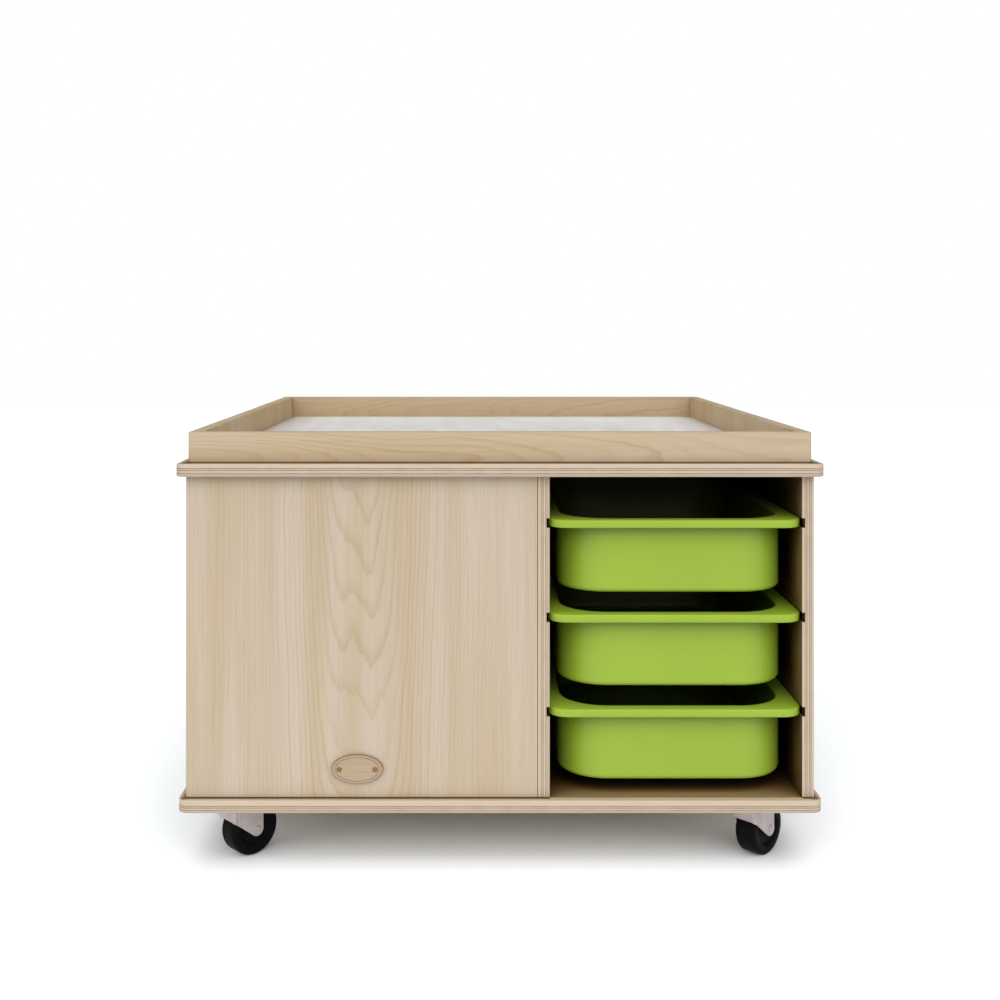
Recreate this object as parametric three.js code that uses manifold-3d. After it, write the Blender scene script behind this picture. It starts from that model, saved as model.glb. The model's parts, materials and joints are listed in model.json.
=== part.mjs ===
// Square plywood play table on swivel casters.
// Three pull-out tubs hang in grooves on each of its four sides and a shallow
// tray sits on top.  Millimetres, +Z up, floor at z = 0, front face towards -Y.

import * as THREE from 'three';
import { mergeVertices } from 'three/addons/utils/BufferGeometryUtils.js';
import Module from 'manifold-3d';

const wasm = await Module();
wasm.setup();

// Clearance left between two pieces that touch
const GAP = 0.3;

// Cabinet: eight upright boards laid out as a pinwheel around a square void
const CABINET = 740;
const BOARD = 14;
const BOARD_HEIGHT = 378.5;
const BAY_WIDTH = 297.5;
const BOARD_LENGTH = CABINET - 2 * BOARD - BAY_WIDTH;
const BAY_FRONT = -CABINET / 2;
const BAY_BACK = BAY_FRONT + BOARD_LENGTH;
const BAY_LEFT = BAY_BACK + BOARD;
const BAY_CENTRE = BAY_LEFT + BAY_WIDTH / 2;

// Top and bottom panels
const PANEL = 15;
const TOP_PANEL = 762;
const BOTTOM_PANEL = 757;
const PANEL_CORNER = 12;
const PANEL_EASE = 1;

// Tray
const TRAY = 736;
const TRAY_BOARD = 15;
const TRAY_HEIGHT = 36;
const TRAY_SHEET = 2;

// Tubs
const TUB_WIDTH = 300.5;
const TUB_LENGTH = 418;
const TUB_HEIGHT = 88;
const TUB_PROUD = 4;
const TUB_WALL = 3.5;
const TUB_FILLET = 4;
const RIM_HEIGHT = 9.2;
const RIM_CORNER = 24;
const RIM_SKIN = 3;
const BODY_INSET = 14.5;
const BODY_CORNER = 57;
const MOUTH_INSET = 22;
const MOUTH_CORNER = 52;

// Grooves that carry the tubs, measured from the floor
const GROOVE_HEIGHT = 11.2;
const GROOVE_DEPTH = 3.7;
const GROOVE_FLOORS = [408.2, 297, 185.8];
const ROWS = ['top', 'middle', 'bottom'];

// Casters
const CASTER_HEIGHT = 75;
const CASTER_SPREAD = 313;
const CASTER_TRAIL = 9;
const CASTER_HEADING = Math.PI / 4;
const WHEEL_RADIUS = 32.5;
const WHEEL_WIDTH = 27;
const WHEEL_SHOULDER = 3;
const FORK_WIDTH = 34.2;
const FORK_SHEET = 2.2;
const FORK_TIP = 8.6;
const FORK_HOOD_FOOT = 15;
const CROWN_TOP = 69.5;
const CROWN_SHEET = 2.5;
const CROWN_RADIUS = 20;
const PIN_RADIUS = 4;
const PIN_HEAD = 6.5;
const PIN_HEAD_HEIGHT = 1.2;
const AXLE_RADIUS = 3;
const AXLE_HEAD = 4.6;
const AXLE_HEAD_HEIGHT = 1;
const PLATE = 60;
const PLATE_SHEET = 2.5;

// Blank plaque on the front panel
const PLAQUE_WIDTH = 61;
const PLAQUE_HEIGHT = 34;
const PLAQUE_SHEET = 3;
const PLAQUE_X = -168;
const PLAQUE_Z = 125;
const RIVET_SPACING = 42;
const RIVET_SHANK = 1.4;
const RIVET_HEAD = 3;
const RIVET_HEAD_HEIGHT = 1.3;

// Heights of the stacked pieces
const BOTTOM_PANEL_Z = CASTER_HEIGHT + GAP;
const BOARD_Z = BOTTOM_PANEL_Z + PANEL + GAP;
const TOP_PANEL_Z = BOARD_Z + BOARD_HEIGHT + GAP;
const TRAY_Z = TOP_PANEL_Z + PANEL + GAP;

const SIDES = ['front', 'right', 'back', 'left'];
const CORNERS = ['front_left', 'front_right', 'back_right', 'back_left'];

function material(colour, roughness, metalness) {
  return new THREE.MeshStandardMaterial({ color: colour, roughness, metalness });
}

const veneer = material('#d9c19a', 0.55, 0);
const trayWood = material('#d2b78b', 0.55, 0);
const laminate = material('#eceae6', 0.35, 0);
const limePlastic = material('#93b83a', 0.35, 0);
const plaqueWood = material('#b99a6e', 0.6, 0);
const brass = material('#a88f62', 0.4, 0.9);
const steel = material('#a79f9d', 0.4, 0.85);
const blackRubber = material('#1c1a1a', 0.6, 0);

// ---------------------------------------------------------------- shapes

function roundedRectangle(width, depth, radius) {
  const x = width / 2 - radius;
  const y = depth / 2 - radius;
  const shape = new THREE.Shape();
  shape.absarc(x, y, radius, 0, Math.PI / 2);
  shape.absarc(-x, y, radius, Math.PI / 2, Math.PI);
  shape.absarc(-x, -y, radius, Math.PI, 1.5 * Math.PI);
  shape.absarc(x, -y, radius, 1.5 * Math.PI, 2 * Math.PI);
  shape.closePath();
  return shape;
}

function polygon(points) {
  return new THREE.Shape(points.map(([x, y]) => new THREE.Vector2(x, y)));
}

function disc(radius, x = 0, y = 0) {
  return new THREE.Shape().absarc(x, y, radius, 0, 2 * Math.PI);
}

// Upright block from z = bottom to z = top with the given plan outline
function slab(shape, bottom, top, curveSegments = 3) {
  const geometry = new THREE.ExtrudeGeometry(shape, {
    depth: top - bottom,
    bevelEnabled: false,
    curveSegments,
  });
  return geometry.translate(0, 0, bottom);
}

// The same block with both end edges chamfered
function easedSlab(shape, bottom, top, ease) {
  const geometry = new THREE.ExtrudeGeometry(shape, {
    depth: top - bottom - 2 * ease,
    bevelEnabled: true,
    bevelThickness: ease,
    bevelSize: ease,
    bevelOffset: -ease,
    bevelSegments: 1,
    curveSegments: 3,
  });
  return geometry.translate(0, 0, bottom + ease);
}

// Solid of revolution about +Z from [radius, height] pairs
function turned(profile, segments) {
  const points = profile.map(([radius, height]) => new THREE.Vector2(radius, height));
  return new THREE.LatheGeometry(points, segments).rotateX(Math.PI / 2);
}

function toManifold(geometry) {
  const bare = geometry.clone();
  bare.deleteAttribute('normal');
  bare.deleteAttribute('uv');
  const merged = mergeVertices(bare, 1e-4);
  return new wasm.Manifold(new wasm.Mesh({
    numProp: 3,
    vertProperties: new Float32Array(merged.attributes.position.array),
    triVerts: new Uint32Array(merged.index.array),
  }));
}

function toGeometry(manifold) {
  const mesh = manifold.getMesh();
  const geometry = new THREE.BufferGeometry();
  const positions = new Float32Array(mesh.vertProperties);
  geometry.setAttribute('position', new THREE.BufferAttribute(positions, 3));
  geometry.setIndex(new THREE.BufferAttribute(new Uint32Array(mesh.triVerts), 1));
  geometry.computeVertexNormals();
  return geometry;
}

// Add every geometry of one list together and cut every geometry of the other
function combine(added, removed) {
  let body = toManifold(added[0]);
  for (const geometry of added.slice(1)) {
    body = body.add(toManifold(geometry));
  }
  for (const geometry of removed) {
    body = body.subtract(toManifold(geometry));
  }
  return toGeometry(body);
}

const table = new THREE.Group();
table.name = 'play_table';

function addPiece(name, geometry, surface, quarterTurns = 0) {
  const mesh = new THREE.Mesh(geometry, surface);
  mesh.name = name;
  mesh.rotation.z = quarterTurns * Math.PI / 2;
  table.add(mesh);
  return mesh;
}

// ---------------------------------------------------------------- cabinet

// Board standing along +X from x = 0, with three grooves cut in its +Y face
function groovedBoard(length) {
  const outline = [[0, 0], [BOARD, 0]];
  for (const floor of [...GROOVE_FLOORS].reverse()) {
    const low = floor - BOARD_Z;
    const high = low + GROOVE_HEIGHT;
    outline.push([BOARD, low], [BOARD - GROOVE_DEPTH, low]);
    outline.push([BOARD - GROOVE_DEPTH, high], [BOARD, high]);
  }
  outline.push([BOARD, BOARD_HEIGHT], [0, BOARD_HEIGHT]);
  return slab(polygon(outline), 0, length).rotateX(Math.PI / 2).rotateZ(Math.PI / 2);
}

// The closed panel lies along its side with the grooves facing inwards; the
// divider runs from the side to the middle with the grooves facing the bay.
const boardLength = BOARD_LENGTH - GAP;
const panelGeometry = groovedBoard(boardLength);
panelGeometry.translate(BAY_FRONT, BAY_FRONT, BOARD_Z);
const dividerGeometry = groovedBoard(boardLength).rotateZ(-Math.PI / 2);
dividerGeometry.translate(BAY_BACK + GAP / 2, BAY_FRONT + boardLength, BOARD_Z);

SIDES.forEach((side, turns) => {
  addPiece(`panel_${side}`, panelGeometry, veneer, turns);
  addPiece(`divider_${side}`, dividerGeometry, veneer, turns);
});

const bottomShape = roundedRectangle(BOTTOM_PANEL, BOTTOM_PANEL, PANEL_CORNER);
const bottomTop = BOTTOM_PANEL_Z + PANEL;
addPiece('bottom_panel', easedSlab(bottomShape, BOTTOM_PANEL_Z, bottomTop, PANEL_EASE), veneer);

const topShape = roundedRectangle(TOP_PANEL, TOP_PANEL, PANEL_CORNER);
const topTop = TOP_PANEL_Z + PANEL;
addPiece('top_panel', easedSlab(topShape, TOP_PANEL_Z, topTop, PANEL_EASE), veneer);

// ---------------------------------------------------------------- tray

// One side of the tray, mitred at both ends and set back from the mitre plane
const outerHalf = TRAY / 2 - GAP;
const innerHalf = TRAY / 2 - TRAY_BOARD - GAP;
const trayBoardShape = polygon([
  [-outerHalf, -TRAY / 2],
  [outerHalf, -TRAY / 2],
  [innerHalf, -TRAY / 2 + TRAY_BOARD],
  [-innerHalf, -TRAY / 2 + TRAY_BOARD],
]);
const trayBoardGeometry = slab(trayBoardShape, TRAY_Z, TRAY_Z + TRAY_HEIGHT);
SIDES.forEach((side, turns) => {
  addPiece(`tray_board_${side}`, trayBoardGeometry, trayWood, turns);
});

const sheetSize = TRAY - 2 * TRAY_BOARD - 2 * GAP;
const sheetGeometry = new THREE.BoxGeometry(sheetSize, sheetSize, TRAY_SHEET);
sheetGeometry.translate(0, 0, TRAY_Z + TRAY_SHEET / 2);
addPiece('tray_floor', sheetGeometry, laminate);

// ---------------------------------------------------------------- tubs

// Outline of the tub pulled in from its rim by the given amount
function tubOutline(inset, corner) {
  return roundedRectangle(TUB_WIDTH - 2 * inset, TUB_LENGTH - 2 * inset, corner);
}

// Tub with the underside of its rim at z = 0
function tub() {
  const floor = RIM_HEIGHT - TUB_HEIGHT;
  const bodyOutline = tubOutline(BODY_INSET, BODY_CORNER);
  const rim = slab(tubOutline(0, RIM_CORNER), 0, RIM_HEIGHT);
  const body = easedSlab(bodyOutline, floor, RIM_HEIGHT - GAP, TUB_FILLET);

  const channelOutline = tubOutline(RIM_SKIN, RIM_CORNER - RIM_SKIN);
  const channel = slab(channelOutline, -1, RIM_HEIGHT - RIM_SKIN);
  const hollowOutline = tubOutline(BODY_INSET + TUB_WALL, BODY_CORNER - TUB_WALL);
  const hollowTop = RIM_HEIGHT - RIM_SKIN;
  const hollow = slab(hollowOutline, floor + TUB_WALL, hollowTop);
  const mouth = slab(tubOutline(MOUTH_INSET, MOUTH_CORNER), 0, RIM_HEIGHT + 1);

  const flange = toManifold(rim).subtract(toManifold(channel));
  const shell = flange.add(toManifold(body));
  return toGeometry(shell.subtract(toManifold(hollow)).subtract(toManifold(mouth)));
}

const tubGeometry = tub();
const tubFront = BAY_FRONT - TUB_PROUD;

SIDES.forEach((side, turns) => {
  ROWS.forEach((row, index) => {
    const rimBottom = GROOVE_FLOORS[index] + GAP;
    const placed = tubGeometry.clone();
    placed.translate(BAY_CENTRE, tubFront + TUB_LENGTH / 2, rimBottom);
    addPiece(`tub_${side}_${row}`, placed, limePlastic, turns);
  });
});

// ---------------------------------------------------------------- casters

// The swivel axis is x = y = 0 and the fork trails towards +X.
const axleX = CASTER_TRAIL;
const axleZ = WHEEL_RADIUS;
const crownBottom = CROWN_TOP - CROWN_SHEET;
const plateTop = CASTER_HEIGHT;
const plateBottom = CASTER_HEIGHT - PLATE_SHEET;

const pinHole = slab(disc(PIN_RADIUS + GAP), 60, 80, 6);

function casterPlate() {
  const plate = slab(roundedRectangle(PLATE, PLATE, 6), plateBottom, plateTop);
  const race = turned([
    [0, CROWN_TOP + GAP],
    [CROWN_RADIUS - 4, CROWN_TOP + GAP],
    [CROWN_RADIUS, plateBottom - 0.5],
    [CROWN_RADIUS, plateBottom + 1],
    [0, plateBottom + 1],
  ], 16);
  return combine([plate, race], [pinHole]);
}

// Stamped fork: a hood in front of the wheel and a leg on each side of it.
// Its side outline is drawn as [x, z] about the wheel axle.
function casterFork() {
  const top = CROWN_TOP - axleZ;
  const ceiling = crownBottom - axleZ;
  const side = new THREE.Shape();
  side.moveTo(FORK_TIP, top);
  side.lineTo(-36, top);
  side.lineTo(-35.5, 25);
  side.lineTo(-32.5, FORK_HOOD_FOOT);
  side.lineTo(-26.5, 10.4);
  side.absarc(0, 0, FORK_TIP, 1.25 * Math.PI, 2 * Math.PI);
  side.closePath();
  const well = polygon([
    [-36 + FORK_SHEET, ceiling],
    [-35.5 + FORK_SHEET, 25],
    [-32.5 + FORK_SHEET, FORK_HOOD_FOOT],
    [-60, FORK_HOOD_FOOT],
    [-60, -60],
    [60, -60],
    [60, ceiling],
  ]);
  const legInside = FORK_WIDTH / 2 - FORK_SHEET;
  const block = slab(side, -FORK_WIDTH / 2, FORK_WIDTH / 2);
  const wheelWell = slab(well, -legInside, legInside);
  const axleHole = slab(disc(AXLE_RADIUS + GAP), -FORK_WIDTH, FORK_WIDTH, 6);
  for (const geometry of [block, wheelWell, axleHole]) {
    geometry.rotateX(Math.PI / 2).translate(axleX, 0, axleZ);
  }
  const crown = slab(disc(CROWN_RADIUS), crownBottom, CROWN_TOP, 8);
  return combine([block, crown], [wheelWell, axleHole, pinHole]);
}

// One mirrored half of a turned profile after the other, from -z to +z
function mirrored(half) {
  const lower = half.map(([radius, height]) => [radius, -height]);
  return [...lower, ...half.slice().reverse()];
}

function casterWheel() {
  const bore = AXLE_RADIUS + GAP;
  const hub = FORK_WIDTH / 2 - FORK_SHEET - GAP;
  const face = WHEEL_WIDTH / 2;
  const profile = mirrored([
    [bore, hub],
    [9, hub],
    [9, face - 2],
    [22, face - 2],
    [22, face],
    [WHEEL_RADIUS - WHEEL_SHOULDER, face],
    [WHEEL_RADIUS, face - WHEEL_SHOULDER],
  ]);
  profile.push(profile[0]);
  return turned(profile, 24).rotateX(Math.PI / 2).translate(axleX, 0, axleZ);
}

function casterAxle() {
  const inside = FORK_WIDTH / 2 + GAP;
  const outside = inside + AXLE_HEAD_HEIGHT;
  const profile = mirrored([
    [0, outside],
    [AXLE_HEAD - 0.6, outside],
    [AXLE_HEAD, inside],
    [AXLE_RADIUS, inside],
  ]);
  return turned(profile, 12).rotateX(Math.PI / 2).translate(axleX, 0, axleZ);
}

function casterKingpin() {
  const headTop = crownBottom - GAP;
  return turned([
    [0, headTop - PIN_HEAD_HEIGHT],
    [PIN_HEAD - 0.8, headTop - PIN_HEAD_HEIGHT],
    [PIN_HEAD, headTop],
    [PIN_RADIUS, headTop],
    [PIN_RADIUS, plateTop - GAP],
    [0, plateTop - GAP],
  ], 12);
}

const casterParts = [
  ['plate', casterPlate(), steel, false],
  ['kingpin', casterKingpin(), steel, false],
  ['fork', casterFork(), steel, true],
  ['axle', casterAxle(), steel, true],
  ['wheel', casterWheel(), blackRubber, true],
];

CORNERS.forEach((corner) => {
  const x = corner.endsWith('left') ? -CASTER_SPREAD : CASTER_SPREAD;
  const y = corner.startsWith('front') ? -CASTER_SPREAD : CASTER_SPREAD;
  for (const [part, geometry, surface, swivels] of casterParts) {
    const placed = geometry.clone();
    placed.rotateZ(swivels ? CASTER_HEADING : 0).translate(x, y, 0);
    addPiece(`caster_${part}_${corner}`, placed, surface);
  }
});

// ---------------------------------------------------------------- plaque

const plaqueShape = new THREE.Shape();
plaqueShape.absellipse(0, 0, PLAQUE_WIDTH / 2, PLAQUE_HEIGHT / 2, 0, 2 * Math.PI);
for (const x of [-RIVET_SPACING / 2, RIVET_SPACING / 2]) {
  plaqueShape.holes.push(disc(RIVET_SHANK + GAP, x));
}
const plaqueFace = BAY_FRONT - GAP;
const plaqueGeometry = slab(plaqueShape, 0, PLAQUE_SHEET, 10).rotateX(Math.PI / 2);
plaqueGeometry.translate(PLAQUE_X, plaqueFace, PLAQUE_Z);
addPiece('plaque', plaqueGeometry, plaqueWood);

const underHead = PLAQUE_SHEET + GAP;
const rivetGeometry = turned([
  [0, 0],
  [RIVET_SHANK, 0],
  [RIVET_SHANK, underHead],
  [RIVET_HEAD, underHead],
  [RIVET_HEAD * 0.8, underHead + RIVET_HEAD_HEIGHT * 0.7],
  [0, underHead + RIVET_HEAD_HEIGHT],
], 12).rotateX(Math.PI / 2);

['left', 'right'].forEach((end, index) => {
  const x = PLAQUE_X + (index - 0.5) * RIVET_SPACING;
  addPiece(`rivet_${end}`, rivetGeometry.clone().translate(x, plaqueFace, PLAQUE_Z), brass);
});

export default table;
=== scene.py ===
"""Looks of a square plywood play table with pull-out tubs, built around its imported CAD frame.

Metres, +Z up, floor at z = 0, front face towards -Y, as in the frame.
"""

import json
import math

import bmesh
import bpy
from mathutils import Matrix, Vector


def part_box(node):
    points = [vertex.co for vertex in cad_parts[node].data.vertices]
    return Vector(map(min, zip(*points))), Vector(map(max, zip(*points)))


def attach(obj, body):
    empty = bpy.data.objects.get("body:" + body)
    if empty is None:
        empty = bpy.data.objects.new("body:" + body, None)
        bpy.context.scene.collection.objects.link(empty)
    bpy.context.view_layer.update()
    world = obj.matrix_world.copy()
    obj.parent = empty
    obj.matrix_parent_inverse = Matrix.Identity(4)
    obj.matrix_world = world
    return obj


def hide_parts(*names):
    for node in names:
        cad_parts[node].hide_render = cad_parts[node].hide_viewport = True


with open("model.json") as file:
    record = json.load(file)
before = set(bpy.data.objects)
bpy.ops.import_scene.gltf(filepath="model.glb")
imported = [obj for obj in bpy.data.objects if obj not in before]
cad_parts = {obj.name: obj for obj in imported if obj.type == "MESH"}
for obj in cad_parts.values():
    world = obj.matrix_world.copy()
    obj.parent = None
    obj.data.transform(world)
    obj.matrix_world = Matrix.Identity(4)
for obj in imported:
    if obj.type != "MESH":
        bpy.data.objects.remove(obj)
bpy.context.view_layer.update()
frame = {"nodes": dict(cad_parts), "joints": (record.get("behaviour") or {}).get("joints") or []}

SIDES = ["front", "right", "back", "left"]
ROWS = ["top", "middle", "bottom"]
CORNERS = ["front_left", "front_right", "back_right", "back_left"]
X, Y, Z = Vector((1, 0, 0)), Vector((0, 1, 0)), Vector((0, 0, 1))
Z_TO_FRONT = Matrix.Rotation(math.radians(90), 4, "X")


def srgb(red, green, blue):
    """Scene-linear colour of an 8-bit screen colour, by the sRGB curve."""
    def linear(value):
        share = value / 255
        return share / 12.92 if share <= 0.04045 else ((share + 0.055) / 1.055) ** 2.4
    return (linear(red), linear(green), linear(blue), 1.0)


def quarter_turn(turns):
    """Turn about Z that carries the front to another side."""
    return Matrix.Rotation(math.radians(90 * turns), 3, "Z")


def add_object(name, data):
    """A new object in the scene."""
    made = bpy.data.objects.new(name, data)
    bpy.context.scene.collection.objects.link(made)
    return made


# ---------------- camera and light

CAMERA_PLACE = (-0.0306, -1.7917, 0.6437)
CAMERA_LENS = 43.45
CAMERA_SENSOR = 36
CAMERA_SHIFT = (0.026, -0.172)

# Each light: compass angle (0 in front, 90 on the right), height and spread in degrees, and strength
SUNS = {
    "front_light": (0, 36, 54, 1.95),
    "left_light": (-56, 28, 34, 0.95),
    "right_light": (56, 28, 34, 0.75),
    "top_light": (0, 80, 60, 1.85),
}
WHITE = (1.0, 1.0, 1.0, 1.0)
WORLD_LIGHT = 0.13


def make_camera():
    """A level camera at the photo's height, its view shifted down to the table."""
    data = bpy.data.cameras.new("camera")
    data.lens = CAMERA_LENS
    data.sensor_width = CAMERA_SENSOR
    data.shift_x, data.shift_y = CAMERA_SHIFT
    camera = add_object("camera", data)
    camera.location = CAMERA_PLACE
    camera.rotation_euler = (math.radians(90), 0, 0)
    bpy.context.scene.camera = camera


def make_sun(name, azimuth, elevation, spread, strength):
    """Soft parallel light from the direction that SUNS describes."""
    data = bpy.data.lights.new(name, "SUN")
    data.energy = strength
    data.angle = math.radians(spread)
    turn, tilt = math.radians(azimuth), math.radians(elevation)
    level = math.cos(tilt)
    towards = Vector((math.sin(turn) * level, -math.cos(turn) * level, math.sin(tilt)))
    add_object(name, data).rotation_euler = towards.to_track_quat("Z", "Y").to_euler()


def make_world():
    """Even white surroundings: bright to look at, weaker as a light."""
    world = bpy.data.worlds.new("studio")
    world.use_nodes = True
    tree = world.node_tree
    tree.nodes.clear()
    seen = node(tree, "ShaderNodeBackground", {"Color": WHITE, "Strength": 1.0})
    light = node(tree, "ShaderNodeBackground", {"Color": WHITE, "Strength": WORLD_LIGHT})
    looking = node(tree, "ShaderNodeLightPath").outputs["Is Camera Ray"]
    both = node(tree, "ShaderNodeMixShader", {0: looking, 1: light.outputs[0], 2: seen.outputs[0]})
    node(tree, "ShaderNodeOutputWorld", {"Surface": both.outputs[0]})
    bpy.context.scene.world = world


# ---------------- node helpers

AO_SAMPLES = 8


def feed(tree, socket, value):
    """Links another node's output to a socket, or gives the socket a plain value."""
    if isinstance(value, bpy.types.NodeSocket):
        tree.links.new(value, socket)
    else:
        socket.default_value = value


def node(tree, kind, inputs=None, **properties):
    """A new node with its properties set and its inputs linked or given a value."""
    made = tree.nodes.new(kind)
    for name, value in properties.items():
        setattr(made, name, value)
    for key, value in (inputs or {}).items():
        feed(tree, made.inputs[key], value)
    return made


def calc(tree, operation, *values):
    """Result of a Math node."""
    return node(tree, "ShaderNodeMath", dict(enumerate(values)), operation=operation).outputs[0]


def calc_vector(tree, operation, *values):
    """Result of a Vector Math node: a number from a dot product, or else a vector."""
    made = node(tree, "ShaderNodeVectorMath", dict(enumerate(values)), operation=operation)
    return made.outputs["Value" if operation == "DOT_PRODUCT" else "Vector"]


def scaled(tree, colour, factor):
    """Colour made lighter or darker by a factor."""
    made = node(tree, "ShaderNodeVectorMath", {0: colour, "Scale": factor}, operation="SCALE")
    return made.outputs["Vector"]


def split(tree, vector):
    """The x, y and z of a vector."""
    return node(tree, "ShaderNodeSeparateXYZ", {0: vector}).outputs


def joined(tree, parts):
    """A vector from its x, y and z."""
    return node(tree, "ShaderNodeCombineXYZ", dict(enumerate(parts))).outputs[0]


def object_place(tree):
    """The shaded point in the object's own axes, which at rest are the frame's."""
    return node(tree, "ShaderNodeTexCoord").outputs["Object"]


def remap(tree, value, low, high, to_low=0.0, to_high=1.0):
    """Value moved smoothly from one range to another and held at its ends."""
    made = node(tree, "ShaderNodeMapRange",
                {"Value": value, "From Min": low, "From Max": high, "To Min": to_low, "To Max": to_high},
                interpolation_type="SMOOTHSTEP")
    return made.outputs["Result"]


def distance(tree, value, centre):
    """How far a number is from another."""
    return calc(tree, "ABSOLUTE", calc(tree, "SUBTRACT", value, centre))


def mix(tree, share, first, second, blend="MIX"):
    """Colour that goes from the first to the second with share."""
    made = node(tree, "ShaderNodeMix", {0: share, 6: first, 7: second}, data_type="RGBA",
                blend_type=blend)
    return made.outputs[2]


def noise(tree, place, stretch, scale, detail=2.0, roughness=0.5):
    """Noise from 0 to 1, drawn out along an axis where stretch is small."""
    squeezed = calc_vector(tree, "MULTIPLY", place, stretch)
    made = node(tree, "ShaderNodeTexNoise",
                {"Vector": squeezed, "Scale": scale, "Detail": detail, "Roughness": roughness})
    return made.outputs["Fac"]


def new_material(name):
    """A material, its node tree and its shader."""
    material = bpy.data.materials.new(name)
    material.use_nodes = True
    tree = material.node_tree
    tree.nodes.clear()
    shader = node(tree, "ShaderNodeBsdfPrincipled")
    node(tree, "ShaderNodeOutputMaterial", {"Surface": shader.outputs[0]})
    return material, tree, shader


def set_shader(tree, shader, colour, roughness, height=None, bump_depth=0.0, **constants):
    """Feeds the colour, roughness and bump, and sets every other value on the shader itself."""
    feed(tree, shader.inputs["Base Color"], colour)
    feed(tree, shader.inputs["Roughness"], roughness)
    for key, value in constants.items():
        shader.inputs[key.replace("_", " ")].default_value = value
    if height is not None:
        bump = node(tree, "ShaderNodeBump", {"Height": height, "Distance": bump_depth, "Strength": 1.0})
        tree.links.new(bump.outputs["Normal"], shader.inputs["Normal"])


def corner_shade(tree, colour, powers, share, reach, alone=False):
    """Painted shade: colour that deepens and warms in corners and recesses, where a surface sees little
    around it.

    Powers are how fast red, green and blue fall; share is how much of it shows, from 0 to 1. Alone
    counts only the piece's own shape, so that a piece that slides out keeps its colour.
    """
    open_share = node(tree, "ShaderNodeAmbientOcclusion", {"Distance": reach}, samples=AO_SAMPLES,
                      only_local=alone).outputs["AO"]
    falls = [calc(tree, "POWER", open_share, power) for power in powers]
    return mix(tree, share, colour, joined(tree, falls), "MULTIPLY")


# ---------------- wood

LIGHT_WOOD = srgb(173, 159, 142)
WARM_WOOD = srgb(167, 150, 125)
GLUE_LINE = srgb(92, 68, 52)
CROSS_PLY = srgb(162, 144, 127)
LONG_PLY = srgb(178, 162, 142)

# Colours that multiply the wood's own
RING_TINT = (0.80, 0.70, 0.56, 1.0)
# Painted shade along joints and where boards stand on a panel
JOINT_SHADE_TINT = (0.36, 0.28, 0.21, 1.0)
TRAY_TINT = (1.0, 0.96, 0.87, 1.0)
# Painted shade on the inner faces of the tray's front and back boards, painted light on those of its side
# boards
TRAY_CROSS_INNER_SHADE = (0.96, 0.89, 0.78, 1.0)
TRAY_SIDE_INNER_LIGHT = (1.32, 1.20, 0.98, 1.0)

# Noises: stretch along each axis of the board, scale and detail
DRIFT = ((1, 1, 0.3), 14, 1.0)
WOBBLE = ((1, 1, 0.18), 42, 2.0)
RIPPLE = ((1, 1, 0.3), 210, 1.0)
BANDS = ((1, 1, 0.05), 22, 1.0)
STREAKS = ((1, 1, 0.016), 330, 2.0)
FIBRES = ((1, 1, 0.02), 1500, 2.0)
PLY_WAVE = ((1, 0.2, 1), 30, 2.0)
LONG_GRAIN = ((1, 1, 0.03), 700, 2.0)
CROSS_GRAIN = ((0.03, 1, 1), 700, 2.0)
GLUE_BLOTCHES = ((1, 0.3, 1), 55, 2.0)

# How far the noises move a growth ring, and the crease over the pith
DRIFT_ACROSS = 0.018
DRIFT_IN = 0.012
WOBBLE_IN = 0.005
RIPPLE_OUT = 0.0012
CREASE_IN = 0.0009

# Ranges as remap takes them: from, to, and the values there if not 0 and 1
CREASE = (0.0, 0.016, 1.0, 0.0)
RING_RISE = (0.35, 0.95)
RING_FALL = (0.95, 1.0, 1.0, 0.0)
RING_STRENGTH = (0.06, 0.20, 0.60, 0.22)
BAND_SHARE = (0.32, 0.68)
STREAK_TONE = (0.3, 0.7, 0.96, 1.03)
FIBRE_TONE = (0.25, 0.75, 0.97, 1.03)
WOOD_ROUGHNESS = (0.2, 0.8, 0.42, 0.54)
LONG_PLY_MARKS = (0.3, 0.7, 0.0, 0.35)
CROSS_PLY_MARKS = (0.3, 0.7, 0.0, 0.5)
GLUE_SPREAD = (0.010, 0.032, 1.0, 0.0)
GLUE_STRENGTH = (0.25, 0.7, 0.95, 0.6)
VENEER_START = (0.455, 0.465, 1.0, 0.0)
BACK_FACING = (0.5, 0.9)

# A higher squareness than 2 flattens the rings into the tall arches of a flat-sawn board
RING_SQUARENESS = 3.2
FAINTEST_RING = 0.25
RING_GROOVE = 0.6
PLY_WANDER = 0.014
PLY_BLEND = 0.012
WOOD_BUMP = 0.00006
WOOD_IOR = 1.45
SPECULAR = 0.3

# Painted corner shade is full inside the cabinet, and slight on its outer faces
CORNER_POWERS = (1.1, 1.4, 2.1)
INSIDE_AO_REACH = 0.35
OPEN_AO_REACH = 0.05
OPEN_SHADE = 0.12

# The closed inside of the cabinet: half its width, and the heights between its two flat panels
INSIDE_REACH = 0.3694
INSIDE_HEIGHTS = (0.0900, 0.4698)

# Half widths of the painted shade lines at joints, the dark share of each, and how far below its face a
# ring still shows
BOARD_JOINT = 0.0012
TRAY_JOINT = 0.0018
JOINT_CORE = 0.4
LEDGE_CORE = 0.5
LEDGE_SLACK = 0.0004

# Shares of a board's thickness where one ply ends and the next begins, from its outer or upper face
TOP_PLIES = (0.33, 0.50, 0.71)
BOTTOM_PLIES = (0.45, 0.60, 0.76)
PANEL_PLIES = (0.24, 0.41, 0.58, 0.76)
DIVIDER_PLIES = (0.27, 0.455, 0.66)


def new_group(name, inputs, outputs):
    """An empty node group with these sockets, each (name, kind), and its input sockets as seen inside."""
    group = bpy.data.node_groups.new(name, "ShaderNodeTree")
    for side, sockets in (("INPUT", inputs), ("OUTPUT", outputs)):
        for socket, kind in sockets:
            group.interface.new_socket(socket, in_out=side, socket_type=f"NodeSocket{kind}")
    return group, node(group, "NodeGroupInput").outputs


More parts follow.
